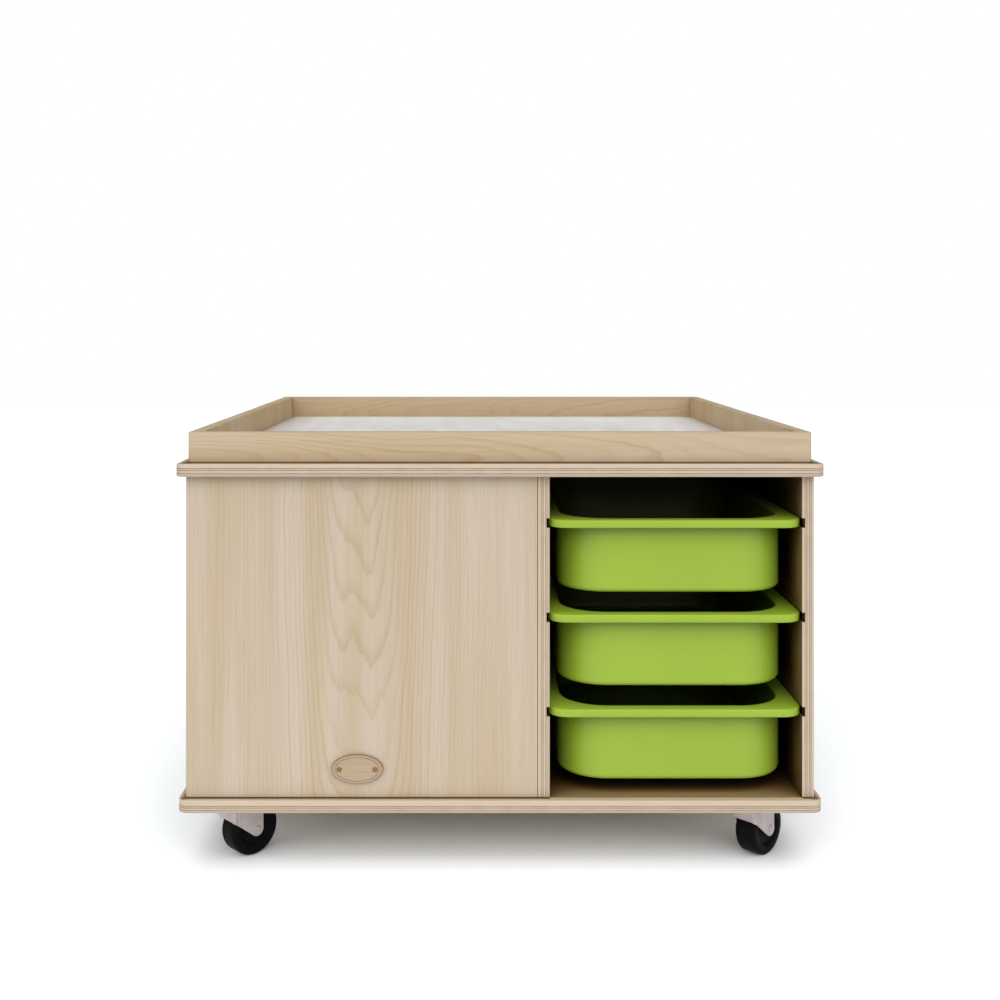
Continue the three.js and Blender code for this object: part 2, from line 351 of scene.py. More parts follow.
def wood_group():
    """Flat-sawn maple: growth rings around a leaning pith, cut open by the board's face.

    Place is in the board's own axes: x across the grain, y into the board and z along the grain.
    """
    numbers = [(name, "Float") for name in ("Pith", "Depth", "Lean", "Ring", "Seed")]
    group, given = new_group("flat_sawn_maple", [("Place", "Vector")] + numbers,
                             [("Color", "Color"), ("Roughness", "Float"), ("Height", "Float")])
    across, inwards, along = split(group, given["Place"])
    place = calc_vector(group, "ADD", given["Place"], joined(group, [given["Seed"]] * 3))

    drift, wobble, ripple = (calc(group, "SUBTRACT", noise(group, place, *kind), 0.5)
                             for kind in (DRIFT, WOBBLE, RIPPLE))
    sideways = calc(group, "SUBTRACT", across, given["Pith"])
    sideways = calc(group, "MULTIPLY_ADD", drift, DRIFT_ACROSS, sideways)
    from_pith = calc(group, "ABSOLUTE", sideways)
    deep = calc(group, "MULTIPLY_ADD", along, given["Lean"], given["Depth"])
    deep = calc(group, "ADD", deep, inwards)
    deep = calc(group, "MULTIPLY_ADD", drift, DRIFT_IN, deep)
    deep = calc(group, "MULTIPLY_ADD", wobble, WOBBLE_IN, deep)
    deep = calc(group, "MULTIPLY_ADD", remap(group, from_pith, *CREASE), CREASE_IN, deep)
    reaches = [calc(group, "POWER", part, RING_SQUARENESS)
               for part in (from_pith, calc(group, "ABSOLUTE", deep))]
    radius = calc(group, "POWER", calc(group, "ADD", *reaches), 1 / RING_SQUARENESS)
    radius = calc(group, "MULTIPLY_ADD", ripple, RIPPLE_OUT, radius)
    rings = calc(group, "DIVIDE", radius, given["Ring"])
    share = calc(group, "FRACT", rings)
    chance = node(group, "ShaderNodeTexWhiteNoise", {"W": calc(group, "FLOOR", rings)},
                  noise_dimensions="1D").outputs["Value"]
    rise = remap(group, share, *RING_RISE)
    line = calc(group, "MULTIPLY", calc(group, "MULTIPLY", rise, rise), remap(group, share, *RING_FALL))
    strength = calc(group, "MULTIPLY_ADD", chance, 1 - FAINTEST_RING, FAINTEST_RING)
    line = calc(group, "MULTIPLY", line, strength)

    fibres = noise(group, place, *FIBRES)
    colour = mix(group, remap(group, noise(group, place, *BANDS), *BAND_SHARE), LIGHT_WOOD, WARM_WOOD)
    shown = calc(group, "MULTIPLY", line, remap(group, from_pith, *RING_STRENGTH))
    colour = mix(group, shown, colour, RING_TINT, "MULTIPLY")
    tone = calc(group, "MULTIPLY", remap(group, noise(group, place, *STREAKS), *STREAK_TONE),
                remap(group, fibres, *FIBRE_TONE))
    height = calc(group, "MULTIPLY_ADD", line, -RING_GROOVE, fibres)
    node(group, "NodeGroupOutput", {"Color": scaled(group, colour, tone), "Height": height,
                                    "Roughness": remap(group, fibres, *WOOD_ROUGHNESS)})
    return group


def ply_group(ply_ends):
    """Edge of a plywood board: plies of alternate grain with thin glue lines between them.

    Place is as in wood_group, and Through runs from 0 at one face of the board to 1 at the other.
    Inside is 1 between the two face veneers and 0 on them.
    """
    group, given = new_group("plywood_edge", [("Place", "Vector"), ("Through", "Float")],
                             [("Color", "Color"), ("Height", "Float"), ("Inside", "Float")])
    place = given["Place"]
    wave = calc(group, "SUBTRACT", noise(group, place, *PLY_WAVE), 0.5)
    through = calc(group, "MULTIPLY_ADD", wave, PLY_WANDER, given["Through"])
    long_grain = noise(group, place, *LONG_GRAIN)
    cross_grain = noise(group, place, *CROSS_GRAIN)
    long_ply = mix(group, remap(group, long_grain, *LONG_PLY_MARKS), LONG_PLY, CROSS_PLY)
    cross_ply = mix(group, remap(group, cross_grain, *CROSS_PLY_MARKS), CROSS_PLY, WARM_WOOD)
    colour = long_ply
    glue = 0.0
    for index, end in enumerate(ply_ends):
        past = remap(group, through, end - PLY_BLEND, end + PLY_BLEND)
        colour = mix(group, past, colour, long_ply if index % 2 else cross_ply)
        line = remap(group, distance(group, through, end), *GLUE_SPREAD)
        glue = calc(group, "MAXIMUM", glue, line)
    patchy = remap(group, noise(group, place, *GLUE_BLOTCHES), *GLUE_STRENGTH)
    glue = calc(group, "MULTIPLY", glue, patchy)
    colour = mix(group, glue, colour, GLUE_LINE)
    height = calc(group, "MULTIPLY_ADD", glue, -1.0, long_grain)
    inside = remap(group, distance(group, given["Through"], 0.5), *VENEER_START)
    node(group, "NodeGroupOutput", {"Color": colour, "Height": height, "Inside": inside})
    return group


WOOD = wood_group()
PLY = {plies: ply_group(plies) for plies in (TOP_PLIES, BOTTOM_PLIES, PANEL_PLIES, DIVIDER_PLIES)}


def board_place(tree, origin, across, inwards, along):
    """The shaded point in the board's own axes, measured from origin, and its three parts."""
    here = calc_vector(tree, "SUBTRACT", object_place(tree), tuple(origin))
    parts = [calc_vector(tree, "DOT_PRODUCT", here, tuple(axis)) for axis in (across, inwards, along)]
    return joined(tree, parts), parts


def inside_cabinet(tree, here):
    """1 inside the cabinet and 0 outside it."""
    x, y, z = split(tree, here)
    reach = calc(tree, "MAXIMUM", calc(tree, "ABSOLUTE", x), calc(tree, "ABSOLUTE", y))
    over = calc(tree, "GREATER_THAN", z, INSIDE_HEIGHTS[0])
    level = calc(tree, "MULTIPLY", over, calc(tree, "LESS_THAN", z, INSIDE_HEIGHTS[1]))
    return calc(tree, "MULTIPLY", calc(tree, "LESS_THAN", reach, INSIDE_REACH), level)


def joint_shade_lines(tree, here, heights, half_width):
    """Painted shade lines: 1 along the level joints at these heights, fading to 0 on both sides."""
    z = split(tree, here)[2]
    dark = 0.0
    for height in heights:
        line = remap(tree, distance(tree, z, height), half_width * JOINT_CORE, half_width, 1.0, 0.0)
        dark = calc(tree, "MAXIMUM", dark, line)
    return dark


def ledge_shade_ring(tree, here, half, width, level, opening):
    """Painted shade where boards stand on a level face: 1 at this height along a square of this half
    width, fading to 0 on both sides.

    The opening, if any, is a stretch of each side without a line, as (start, end) along it.
    """
    z = split(tree, here)[2]
    ring = 0.0
    for turns in range(4):
        turn = quarter_turn(turns)
        along = calc_vector(tree, "DOT_PRODUCT", here, tuple(turn @ X))
        outward = calc_vector(tree, "DOT_PRODUCT", here, tuple(turn @ -Y))
        line = remap(tree, distance(tree, outward, half), width * LEDGE_CORE, width, 1.0, 0.0)
        if opening:
            past_start = calc(tree, "GREATER_THAN", along, opening[0])
            in_opening = calc(tree, "MULTIPLY", past_start, calc(tree, "LESS_THAN", along, opening[1]))
            line = calc(tree, "MULTIPLY", line, calc(tree, "SUBTRACT", 1.0, in_opening))
        beside = calc(tree, "LESS_THAN", calc(tree, "ABSOLUTE", along), half + width)
        ring = calc(tree, "MAXIMUM", ring, calc(tree, "MULTIPLY", line, beside))
    return calc(tree, "MULTIPLY", ring, calc(tree, "GREATER_THAN", z, level - LEDGE_SLACK))


def wood_nodes(tree, place, pith, depth, lean, ring, seed):
    """The wood group in a material: colour, roughness and height."""
    inputs = {"Place": place, "Pith": pith, "Depth": depth, "Lean": lean, "Ring": ring, "Seed": seed}
    return node(tree, "ShaderNodeGroup", inputs, node_tree=WOOD).outputs


def wood_material(name, origin, across, inwards, along, figure, seed, board=None, ring=0.004,
                  joints=(), joint_half=BOARD_JOINT, ledge=None, tint=WHITE, back_light_and_shade=WHITE):
    """Lacquered maple with its grain along one axis. With a board it is plywood under face veneers.

    Board is (thickness, where its plies end). Figure is (place of the pith across the board, its depth
    behind the face, its lean). Joints are the heights of painted shade lines along joints on upright
    faces, and ledge is what ledge_shade_ring needs for painted shade on a level face. The back light and
    shade is painted light or painted shade on the face away from the origin. Painted corner shade comes
    last.
    """
    material, tree, shader = new_material(name)
    place, parts = board_place(tree, origin, across, inwards, along)
    colour, roughness, height = wood_nodes(tree, place, *figure, ring, seed)
    if board:
        thickness, plies = board
        inputs = {"Place": place, "Through": calc(tree, "DIVIDE", parts[1], thickness)}
        ply = node(tree, "ShaderNodeGroup", inputs, node_tree=PLY[plies]).outputs
        colour = mix(tree, ply["Inside"], colour, ply["Color"])
        height = node(tree, "ShaderNodeMix", {0: ply["Inside"], 2: height, 3: ply["Height"]}).outputs[0]
    normal = node(tree, "ShaderNodeTexCoord").outputs["Normal"]
    facing_back = remap(tree, calc_vector(tree, "DOT_PRODUCT", normal, tuple(inwards)), *BACK_FACING)
    # The wood's tint, and painted light or painted shade on the face away from the origin
    colour = mix(tree, 1.0, colour, mix(tree, facing_back, tint, back_light_and_shade), "MULTIPLY")
    here = object_place(tree)
    # Painted shade along joints and where boards stand on a level face
    if joints:
        colour = mix(tree, joint_shade_lines(tree, here, joints, joint_half), colour, JOINT_SHADE_TINT, "MULTIPLY")
    if ledge:
        colour = mix(tree, ledge_shade_ring(tree, here, *ledge), colour, JOINT_SHADE_TINT, "MULTIPLY")
    # Painted shade in corners and recesses: full inside the cabinet, slight on its outer faces
    inside = inside_cabinet(tree, here)
    reach = remap(tree, inside, 0.0, 1.0, OPEN_AO_REACH, INSIDE_AO_REACH)
    share = calc(tree, "MAXIMUM", inside, OPEN_SHADE)
    colour = corner_shade(tree, colour, CORNER_POWERS, share, reach)
    set_shader(tree, shader, colour, roughness, height, WOOD_BUMP, IOR=WOOD_IOR,
               Specular_IOR_Level=SPECULAR)
    return material


# ---------------- other materials

EVEN = (1, 1, 1)

LIME = srgb(134, 158, 46)
PLASTIC_FLOW = ((1, 1, 0.5), 11, 2.0)
PLASTIC_GRAIN = (EVEN, 500, 1.0)
PLASTIC_TONE = (0.3, 0.7, 0.98, 1.02)
PLASTIC_GLOSS_SPREAD = (0.3, 0.7, -0.04, 0.05)
PLASTIC_ROUGHNESS = 0.34
PLASTIC_BUMP = 0.000006
PLASTIC_IOR = 1.48
# Painted shade of the tub's own shape: how fast red, green and blue fall, and how far it reaches
TUB_POWERS = (1.3, 1.3, 2.0)
TUB_AO_REACH = 0.35

LAMINATE = srgb(208, 207, 205)
LAMINATE_CLOUD = srgb(202, 201, 197)
CLOUD = (EVEN, 6, 2.0)
CLOUD_SHARE = (0.3, 0.7)
PEBBLE = (EVEN, 900, 1.0)
PEBBLE_BUMP = 0.00004
SCUFF = ((1, 0.15, 1), 60, 3.0)
LAMINATE_ROUGHNESS = (0.35, 0.7, 0.34, 0.48)
# Painted shade in the tray's corners: how fast red, green and blue fall, and how far it reaches
LAMINATE_POWERS = (0.7, 0.8, 0.9)
LAMINATE_AO_REACH = 0.06

METAL_CLOUD = (EVEN, 70, 3.0)
METAL_TONE = (0.3, 0.7, 0.88, 1.05)
BRUSHED = ((1, 1, 0.08), 1600, 2.0)
BRUSHED_SPREAD = (0.3, 0.7, -0.06, 0.08)
METAL_BUMP = 0.00002
# Colour, roughness and share of metal
STEEL = (srgb(176, 166, 164), 0.42, 0.35)
ZINC = (srgb(190, 188, 180), 0.3, 0.9)
BRASS = (srgb(128, 100, 70), 0.45, 0.6)

RUBBER = srgb(7, 5, 6)
RUBBER_DUST = srgb(20, 17, 17)
DUST = (EVEN, 130, 4.0, 0.65)
DUST_SHARE = (0.45, 0.75, 0.0, 0.6)
RUBBER_ROUGHNESS = (0.3, 0.7, 0.45, 0.6)
PORES = (EVEN, 1800, 1.0)
PORE_BUMP = 0.00005
RUBBER_SPECULAR = 0.06

FLOOR_COLOURS = ((0.915, 0.945, 0.98, 1), (0.935, 0.965, 1.0, 1))
FLOOR_CLOUD = (EVEN, 1.5, 1.0)
FLOOR_ROUGHNESS = 0.7
FLOOR_SPECULAR = 0.1


def plastic_material():
    """Moulded plastic with a fine grained surface and faint flow marks."""
    material, tree, shader = new_material("lime_plastic")
    here = object_place(tree)
    grain = noise(tree, here, *PLASTIC_GRAIN)
    tone = remap(tree, noise(tree, here, *PLASTIC_FLOW), *PLASTIC_TONE)
    # Painted shade of the tub's own shape: darker in its hollow and under its rim
    shade = corner_shade(tree, scaled(tree, LIME[:3], tone), TUB_POWERS, 1.0, TUB_AO_REACH, alone=True)
    rough = calc(tree, "ADD", remap(tree, grain, *PLASTIC_GLOSS_SPREAD), PLASTIC_ROUGHNESS)
    set_shader(tree, shader, shade, rough, grain, PLASTIC_BUMP, IOR=PLASTIC_IOR,
               Specular_IOR_Level=SPECULAR)
    return material


def laminate_material():
    """White laminate with a very fine texture and faint scuffs."""
    material, tree, shader = new_material("white_laminate")
    here = object_place(tree)
    cloud = remap(tree, noise(tree, here, *CLOUD), *CLOUD_SHARE)
    colour = mix(tree, cloud, LAMINATE, LAMINATE_CLOUD)
    # Painted shade in the corners where the tray floor meets its boards
    colour = corner_shade(tree, colour, LAMINATE_POWERS, 1.0, LAMINATE_AO_REACH)
    rough = remap(tree, noise(tree, here, *SCUFF), *LAMINATE_ROUGHNESS)
    set_shader(tree, shader, colour, rough, noise(tree, here, *PEBBLE), PEBBLE_BUMP)
    return material


def metal_material(name, colour, roughness, metallic):
    """Plated or painted metal with fine scratches, lighter and darker in soft patches."""
    material, tree, shader = new_material(name)
    here = object_place(tree)
    brushed = noise(tree, here, *BRUSHED)
    shade = scaled(tree, colour[:3], remap(tree, noise(tree, here, *METAL_CLOUD), *METAL_TONE))
    rough = calc(tree, "ADD", remap(tree, brushed, *BRUSHED_SPREAD), roughness)
    set_shader(tree, shader, shade, rough, brushed, METAL_BUMP, Metallic=metallic)
    return material


def rubber_material():
    """Black rubber with a little dust."""
    material, tree, shader = new_material("black_rubber")
    here = object_place(tree)
    dust = noise(tree, here, *DUST)
    colour = mix(tree, remap(tree, dust, *DUST_SHARE), RUBBER, RUBBER_DUST)
    rough = remap(tree, dust, *RUBBER_ROUGHNESS)
    set_shader(tree, shader, colour, rough, noise(tree, here, *PORES), PORE_BUMP,
               Specular_IOR_Level=RUBBER_SPECULAR)
    return material


def floor_material():
    """Pale floor, a touch bluer than white against the warm light that the wood throws on it."""
    material, tree, shader = new_material("floor")
    colour = mix(tree, noise(tree, object_place(tree), *FLOOR_CLOUD), *FLOOR_COLOURS)
    set_shader(tree, shader, colour, FLOOR_ROUGHNESS, Specular_IOR_Level=FLOOR_SPECULAR)
    return material


# ---------------- mesh helpers

WELD_REACH = 0.00001


def arc(centre, radius, start, end, steps):
    """Points on an arc, angles in degrees, both ends included."""
    angles = [math.radians(start + (end - start) * i / steps) for i in range(steps + 1)]
    return [(centre[0] + radius * math.cos(a), centre[1] + radius * math.sin(a)) for a in angles]


def circle(radius, count):
    """Points round a whole circle about the origin."""
    return arc((0, 0), radius, 0, 360 - 360 / count, count - 1)


def rounded_outline(half_x, half_y, radius, steps):
    """Anticlockwise outline of a rectangle with round corners, about the origin."""
    x, y = half_x - radius, half_y - radius
    points = []
    for corner, (cx, cy) in enumerate(((x, y), (-x, y), (-x, -y), (x, -y))):
        points += arc((cx, cy), radius, corner * 90, corner * 90 + 90, steps)
    return points


def skin(mesh, rings, matrix=Matrix.Identity(4)):
    """Joins rings of as many points each into a closed surface, moved by a matrix."""
    rows = [[mesh.verts.new(matrix @ Vector(point)) for point in ring] for ring in rings]
    count = len(rows[0])
    for low, high in zip(rows, rows[1:]):
        for i in range(count):
            j = (i + 1) % count
            mesh.faces.new((low[i], low[j], high[j], high[i]))
    mesh.faces.new(tuple(reversed(rows[0])))
    mesh.faces.new(tuple(rows[-1]))


def level_ring(outline, height):
    """A flat outline as points at one height."""
    return [(x, y, height) for x, y in outline]


def shifted(pairs, height):
    """(distance, height) pairs with their heights counted from another."""
    return [(reach, height + extra) for reach, extra in pairs]


def turn_profile(mesh, profile, steps, matrix):
    """Solid of revolution about local Z from (radius, height) pairs that start and end off the axis."""
    skin(mesh, [level_ring(circle(radius, steps), height) for radius, height in profile], matrix)


def both_sides(half):
    """A whole profile from its upper half, given from the end to the middle."""
    return [(radius, -height) for radius, height in half] + half[::-1]


def dome(radius, rise, base, angles):
    """(radius, height) of points on a low dome, by their angles above its rim."""
    turns = [math.radians(angle) for angle in angles]
    return [(radius * math.cos(turn), base + rise * math.sin(turn)) for turn in turns]


def make_piece(name, mesh, material, body, replaced=None, smooth_angle=35):
    """An object from a bmesh, with smooth shading except over sharp edges, riding on a body.

    It takes the material it is given, and may stand for a CAD node, which it hides.
    """
    bmesh.ops.recalc_face_normals(mesh, faces=mesh.faces)
    data = bpy.data.meshes.new(name)
    mesh.to_mesh(data)
    mesh.free()
    data.shade_smooth()
    data.set_sharp_from_angle(angle=math.radians(smooth_angle))
    data.materials.append(material)
    piece = add_object(name, data)
    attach(piece, body)
    if replaced:
        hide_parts(replaced)
    return piece


def add_bevel(piece, width, segments=2, angle=40):
    """Rounds the edges of a piece that are sharper than an angle in degrees."""
    bevel = piece.modifiers.new("eased_edges", "BEVEL")
    bevel.width = width
    bevel.segments = segments
    bevel.limit_method = "ANGLE"
    bevel.angle_limit = math.radians(angle)
    bevel.harden_normals = True


def dress_cad_node(name, material, bevel_width):
    """Gives a CAD node its material and rounds its edges."""
    piece = frame["nodes"][name]
    piece.data.materials.clear()
    piece.data.materials.append(material)
    piece.modifiers.new("one_skin", "WELD").merge_threshold = WELD_REACH
    add_bevel(piece, bevel_width)


# ---------------- cabinet

BOARD = 0.014
BOARD_EASING = 0.0006
LAMINATE_EASING = 0.0003
PANEL_CORNER = 0.012
PANEL_EDGE = 0.0012
PANEL_EDGE_STEPS = 3
PANEL_CORNER_STEPS = 12

# Where each side's closed board was cut from its log, the first two changing from side to side
PANEL_PITH = -0.165
PANEL_PITH_STEP = 0.03
PANEL_LEANS = (-0.08, 0.07)
PANEL_DEPTH = 0.046
PANEL_RING = 0.0045
DIVIDER_FIGURE = (-0.12, 0.14, 0.05)
DIVIDER_SEED = 4

# Pith, seed, plies and width of the painted shade line at the joint of the top and the bottom panel
TOP_PANEL = (-0.30, 14, TOP_PLIES, 0.008)
BOTTOM_PANEL = (0.22, 15, BOTTOM_PLIES, 0.005)
FLAT_DEPTH = 0.09
FLAT_LEAN = 0.05


def dress_boards():
    """The grooved boards stay as the CAD has them; each gets plywood cut for its own place."""
    for turns, side in enumerate(SIDES):
        turn = quarter_turn(turns)
        low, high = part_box("panel_front")
        middle = Z * (low.z + high.z) / 2
        figure = (PANEL_PITH + PANEL_PITH_STEP * turns, PANEL_DEPTH, PANEL_LEANS[turns % 2])
        # Painted shade lines where each board meets the top and the bottom panel
        panel = wood_material(f"veneer_panel_{side}", turn @ Vector((0, low.y, 0)) + middle,
                              turn @ X, turn @ Y, Z, figure, turns, (BOARD, PANEL_PLIES), PANEL_RING,
                              joints=(low.z, high.z))
        dress_cad_node(f"panel_{side}", panel, BOARD_EASING)
        low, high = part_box("divider_front")
        divider = wood_material(f"veneer_divider_{side}", turn @ Vector((low.x, 0, 0)) + middle,
                                turn @ Y, turn @ X, Z, DIVIDER_FIGURE, turns + DIVIDER_SEED,
                                (BOARD, DIVIDER_PLIES), joints=(low.z, high.z))
        dress_cad_node(f"divider_{side}", divider, BOARD_EASING)


def make_flat_panel(name, settings, ledge_half, opening=None):
    """Top or bottom panel with round corners and edges, and painted shade where boards stand on it.

    Ledge_half is how far that painted shade line lies from the middle, and opening where it stops at a
    bay.
    """
    pith, seed, plies, line = settings
    low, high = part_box(name)
    half = (high.x - low.x) / 2
    rings = []
    for centre_z, start, end in ((low.z + PANEL_EDGE, -90, 0), (high.z - PANEL_EDGE, 0, 90)):
        for reach, height in arc((half - PANEL_EDGE, centre_z), PANEL_EDGE, start, end, PANEL_EDGE_STEPS):
            corner = PANEL_CORNER - (half - reach)
            rings.append(level_ring(rounded_outline(reach, reach, corner, PANEL_CORNER_STEPS), height))
    mesh = bmesh.new()
    skin(mesh, rings)
    wood = wood_material(f"veneer_{name}", (0, 0, high.z), Y, -Z, X, (pith, FLAT_DEPTH, FLAT_LEAN), seed,
                         (high.z - low.z, plies), ledge=(ledge_half, line, high.z, opening))
    make_piece(f"{name}_ply", mesh, wood, "table", name)


# ---------------- tray

TRAY_CORNER = 0.003
TRAY_CORNER_STEPS = 4
TRAY_EDGE = 0.0012
TRAY_EDGE_STEPS = 3
TRAY_SEED = 9
# The front and back boards have their grain lengthwise, the side boards upright and plain
TRAY_LONG_FIGURE = (-0.012, 0.05, 0.045)
TRAY_LONG_RING = 0.003
TRAY_SIDE_FIGURE = (-0.6, 0.3, 0.02)


def make_tray_board(side, turns):
    """One mitred side of the tray with a round outer corner at each end and softened long edges."""
    low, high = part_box("tray_board_front")
    outer, inner = -low.y, -high.y
    gap = outer - high.x
    centre = outer - TRAY_CORNER
    past_mitre = math.degrees(math.asin(gap / TRAY_CORNER / math.sqrt(2)))
    plan = arc((-centre, -centre), TRAY_CORNER, 225 + past_mitre, 270, TRAY_CORNER_STEPS)
    plan += arc((centre, -centre), TRAY_CORNER, 270, 315 - past_mitre, TRAY_CORNER_STEPS)
    plan += [(inner - gap, -inner), (gap - inner, -inner)]
    mesh = bmesh.new()
    skin(mesh, [level_ring(plan, z) for z in (low.z, high.z)])
    # The long edges are the level ones that don't lie along a mitre
    long_edges = [edge for edge in mesh.edges
                  if abs(edge.verts[0].co.z - edge.verts[1].co.z) < TRAY_EDGE
                  and not is_mitre(edge, gap)]
    bmesh.ops.bevel(mesh, geom=long_edges, offset=TRAY_EDGE, segments=TRAY_EDGE_STEPS, profile=0.5,
                    affect="EDGES")
    turn = quarter_turn(turns)
    bmesh.ops.transform(mesh, matrix=turn.to_4x4(), verts=mesh.verts)
    # Painted shade along the foot of each board, where it stands on the top panel
    shared = {"seed": turns + TRAY_SEED, "joints": (low.z,), "joint_half": TRAY_JOINT, "tint": TRAY_TINT}
    name, face = f"tray_wood_{side}", turn @ Vector((0, low.y, 0)) + Z * low.z
    # Inner faces: painted shade on the front and back boards, painted light on the side boards
    if turns % 2 == 0:
        wood = wood_material(name, face, Z, turn @ Y, turn @ X, TRAY_LONG_FIGURE, ring=TRAY_LONG_RING,
                             back_light_and_shade=TRAY_CROSS_INNER_SHADE, **shared)
    else:
        wood = wood_material(name, face, turn @ X, turn @ Y, Z, TRAY_SIDE_FIGURE,
                             back_light_and_shade=TRAY_SIDE_INNER_LIGHT, **shared)
    make_piece(f"tray_side_{side}", mesh, wood, "table", f"tray_board_{side}")


def is_mitre(edge, gap):
    """Whether an edge of the front tray board lies in the plane of one of its mitres."""
    return all(abs(abs(vert.co.x) - abs(vert.co.y) + gap) < gap / 2 for vert in edge.verts)


# ---------------- tubs

TUB_RIM_CORNER = 0.024
TUB_RIM_HEIGHT = 0.0092
TUB_RIM_ROUND = 0.0014
TUB_SKIN = 0.003
TUB_FILLET = 0.0006
TUB_BODY_INSET = 0.0145
TUB_BODY_CORNER = 0.057
TUB_FOOT = 0.006
TUB_MOUTH = 0.001
TUB_FLOOR = 0.0035
TUB_FLOOR_INSET = 0.0048
TUB_FLOOR_ROUND = 0.008
TUB_CORNER_STEPS = 10
TUB_SMOOTH = 50
# (inset from the body, height over the foot) from the raised base to the foot it stands on
TUB_BASE = ((0.0125, 0.0012), (0.0105, 0.0012), (0.009, 0))
# (inset from the body, height from the hollow under the rim) where the body meets the rim
TUB_NECK = ((0, -0.0015), (-0.0004, -0.0004), (-0.0015, 0))
# (inset from the rim, height over its underside) round its lower outer edge
TUB_LIP = ((0.0009, 0), (0.0003, 0.0003), (0, 0.0009))


def tub_profile(depth):
    """(inset from the rim, height over its underside, corner radius) from the base to the inner floor."""
    bottom, ceiling = TUB_RIM_HEIGHT - depth, TUB_RIM_HEIGHT - TUB_SKIN

    def body(points):
        return [(TUB_BODY_INSET + inset, height, TUB_BODY_CORNER - inset) for inset, height in points]

    def rim(points):
        return [(inset, height, TUB_RIM_CORNER - inset) for inset, height in points]

    profile = body(shifted(TUB_BASE, bottom))
    profile += body(arc((TUB_FOOT, bottom + TUB_FOOT), -TUB_FOOT, 90, 0, 6))
    profile += body(shifted(TUB_NECK, ceiling))
    profile += rim([(TUB_SKIN + TUB_FILLET, ceiling), (TUB_SKIN, ceiling - TUB_FILLET),
                    (TUB_SKIN, TUB_FILLET), (TUB_SKIN - TUB_FILLET, 0)])
    profile += rim(TUB_LIP)
    profile += rim(arc((TUB_RIM_ROUND, TUB_RIM_HEIGHT - TUB_RIM_ROUND), TUB_RIM_ROUND, 180, 90, 4))
    profile += body(arc((TUB_MOUTH, TUB_RIM_HEIGHT - TUB_SKIN), TUB_SKIN, 90, 0, 5))
    floor_centre = (TUB_FLOOR_INSET + TUB_FLOOR_ROUND, bottom + TUB_FLOOR + TUB_FLOOR_ROUND)
    return profile + body(arc(floor_centre, -TUB_FLOOR_ROUND, 0, 90, 6))


def make_tub(name, side_turns, plastic):
    """One moulded tub, its length along the way it slides."""
    low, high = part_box(name)
    across, along = (1, 0) if side_turns % 2 else (0, 1)
    half_width, half_length = (high[across] - low[across]) / 2, (high[along] - low[along]) / 2
    centre = (low + high) / 2
    place = Matrix.Translation((centre.x, centre.y, high.z - TUB_RIM_HEIGHT))
    place = place @ quarter_turn(side_turns).to_4x4()
    rings = []
    for inset, height, radius in tub_profile(high.z - low.z):
        outline = rounded_outline(half_width - inset, half_length - inset, radius, TUB_CORNER_STEPS)
        rings.append(level_ring(outline, height))
    mesh = bmesh.new()
    skin(mesh, rings, place)
    make_piece(f"{name}_moulded", mesh, plastic, name, name, TUB_SMOOTH)


# ---------------- casters

FORK_HALF = 0.0171
FORK_SHEET = 0.0022
FORK_TIP = 0.0086
FORK_FRONT = -0.036
FORK_BEND = 0.005
FORK_BEND_STEPS = 6
# Points along the straight edge of a leg, between the axle and the hood
FORK_LEG = (-0.012, -0.019, -0.025)
# A pressed crease where the leg ends and the hood begins: (distance behind the bend, how far it is sunk)
FORK_CREASE = ((0.0024, 0), (0.0012, 0.0008), (0, 0))
FORK_FLARE_TOP = 0.025
FORK_FLARE_FOOT = 0.015
FORK_FLARE = 0.003
FORK_FLARE_CURVE = 1.5
FORK_FLARE_STEPS = 4
FORK_FOOT_RISE = 0.002
FORK_EASING = 0.0005
CROWN_SHEET = 0.0025
CROWN_RADIUS = 0.020
CROWN_OVERLAP = 0.0001

WHEEL_HALF = 0.0135
HUB_HALF = 0.0146
WHEEL_STEPS = 64
# (radius, depth under the hub's end), then (radius, depth under the tyre's side), then the groove round
# the tread as (depth under the tread, distance from the tyre's side)
HUB_FACE = ((0.0034, 0), (0.0076, 0), (0.0082, 0.0006))
WHEEL_FACE = ((0.0082, 0.0022), (0.009, 0.0028), (0.0192, 0.0028), (0.0203, 0.002), (0.0208, 0.0006),
              (0.0216, 0))
TREAD_GROOVE = ((0, 0.0052), (0.0005, 0.0056), (0.0005, 0.0062), (0, 0.0066))
TYRE_ROUND = 0.004

AXLE_HEAD = 0.0046
AXLE_RISE = 0.0012
AXLE_SHANK = 0.003
AXLE_TIP = 0.0001
AXLE_GAP = 0.0001
AXLE_ANGLES = (85, 65, 45, 25, 0)
ROUND_STEPS = 32

PLATE_EDGE = 0.0005
PLATE_CORNER = 0.006
RACE_STEPS = 48
# (radius, height over the lowest point), then (radius, height over the plate's underside)
RACE_FOOT = ((0.0045, 0.0004), (0.0145, 0), (0.0160, 0.0003))
RACE_NECK = ((0.0178, -0.0008), (0.0190, -0.0002), (0.0200, 0.0001), (0.0200, 0.001))

KINGPIN_TIP = 0.0008
KINGPIN_SHANK = 0.004
# (share of the head's radius, height over its lowest point)
KINGPIN_HEAD = ((0.45, 0.0001), (0.8, 0.0004), (1, 0.0009), (1, 0.0012))

SCREW_SPACING = 0.044
SCREW_POINTS = 24
# (radius, height over the plate) of the head, and (reach, half width, height) of its cross recess
SCREW_HEAD = ((0.0034, -0.0004), (0.0035, 0.0005), (0.0032, 0.0012), (0.0026, 0.0017))
SCREW_CROSS = ((0.0019, 0.00045, 0.0019), (0.0017, 0.0004, 0.0009))
# Radians by which a screw is turned for its place along X and along Y
SCREW_TURNS = (0.4, 0.7)


def joint_place(name):
    """Where a joint is at rest."""
    return Vector(next(joint["pos_m"] for joint in frame["joints"] if joint["name"] == name))


def joint_offset():
    """How far the wheel trails behind its swivel axis."""
    offset = joint_place("caster_roll_front_left") - joint_place("caster_swivel_front_left")
    return offset.xy.length


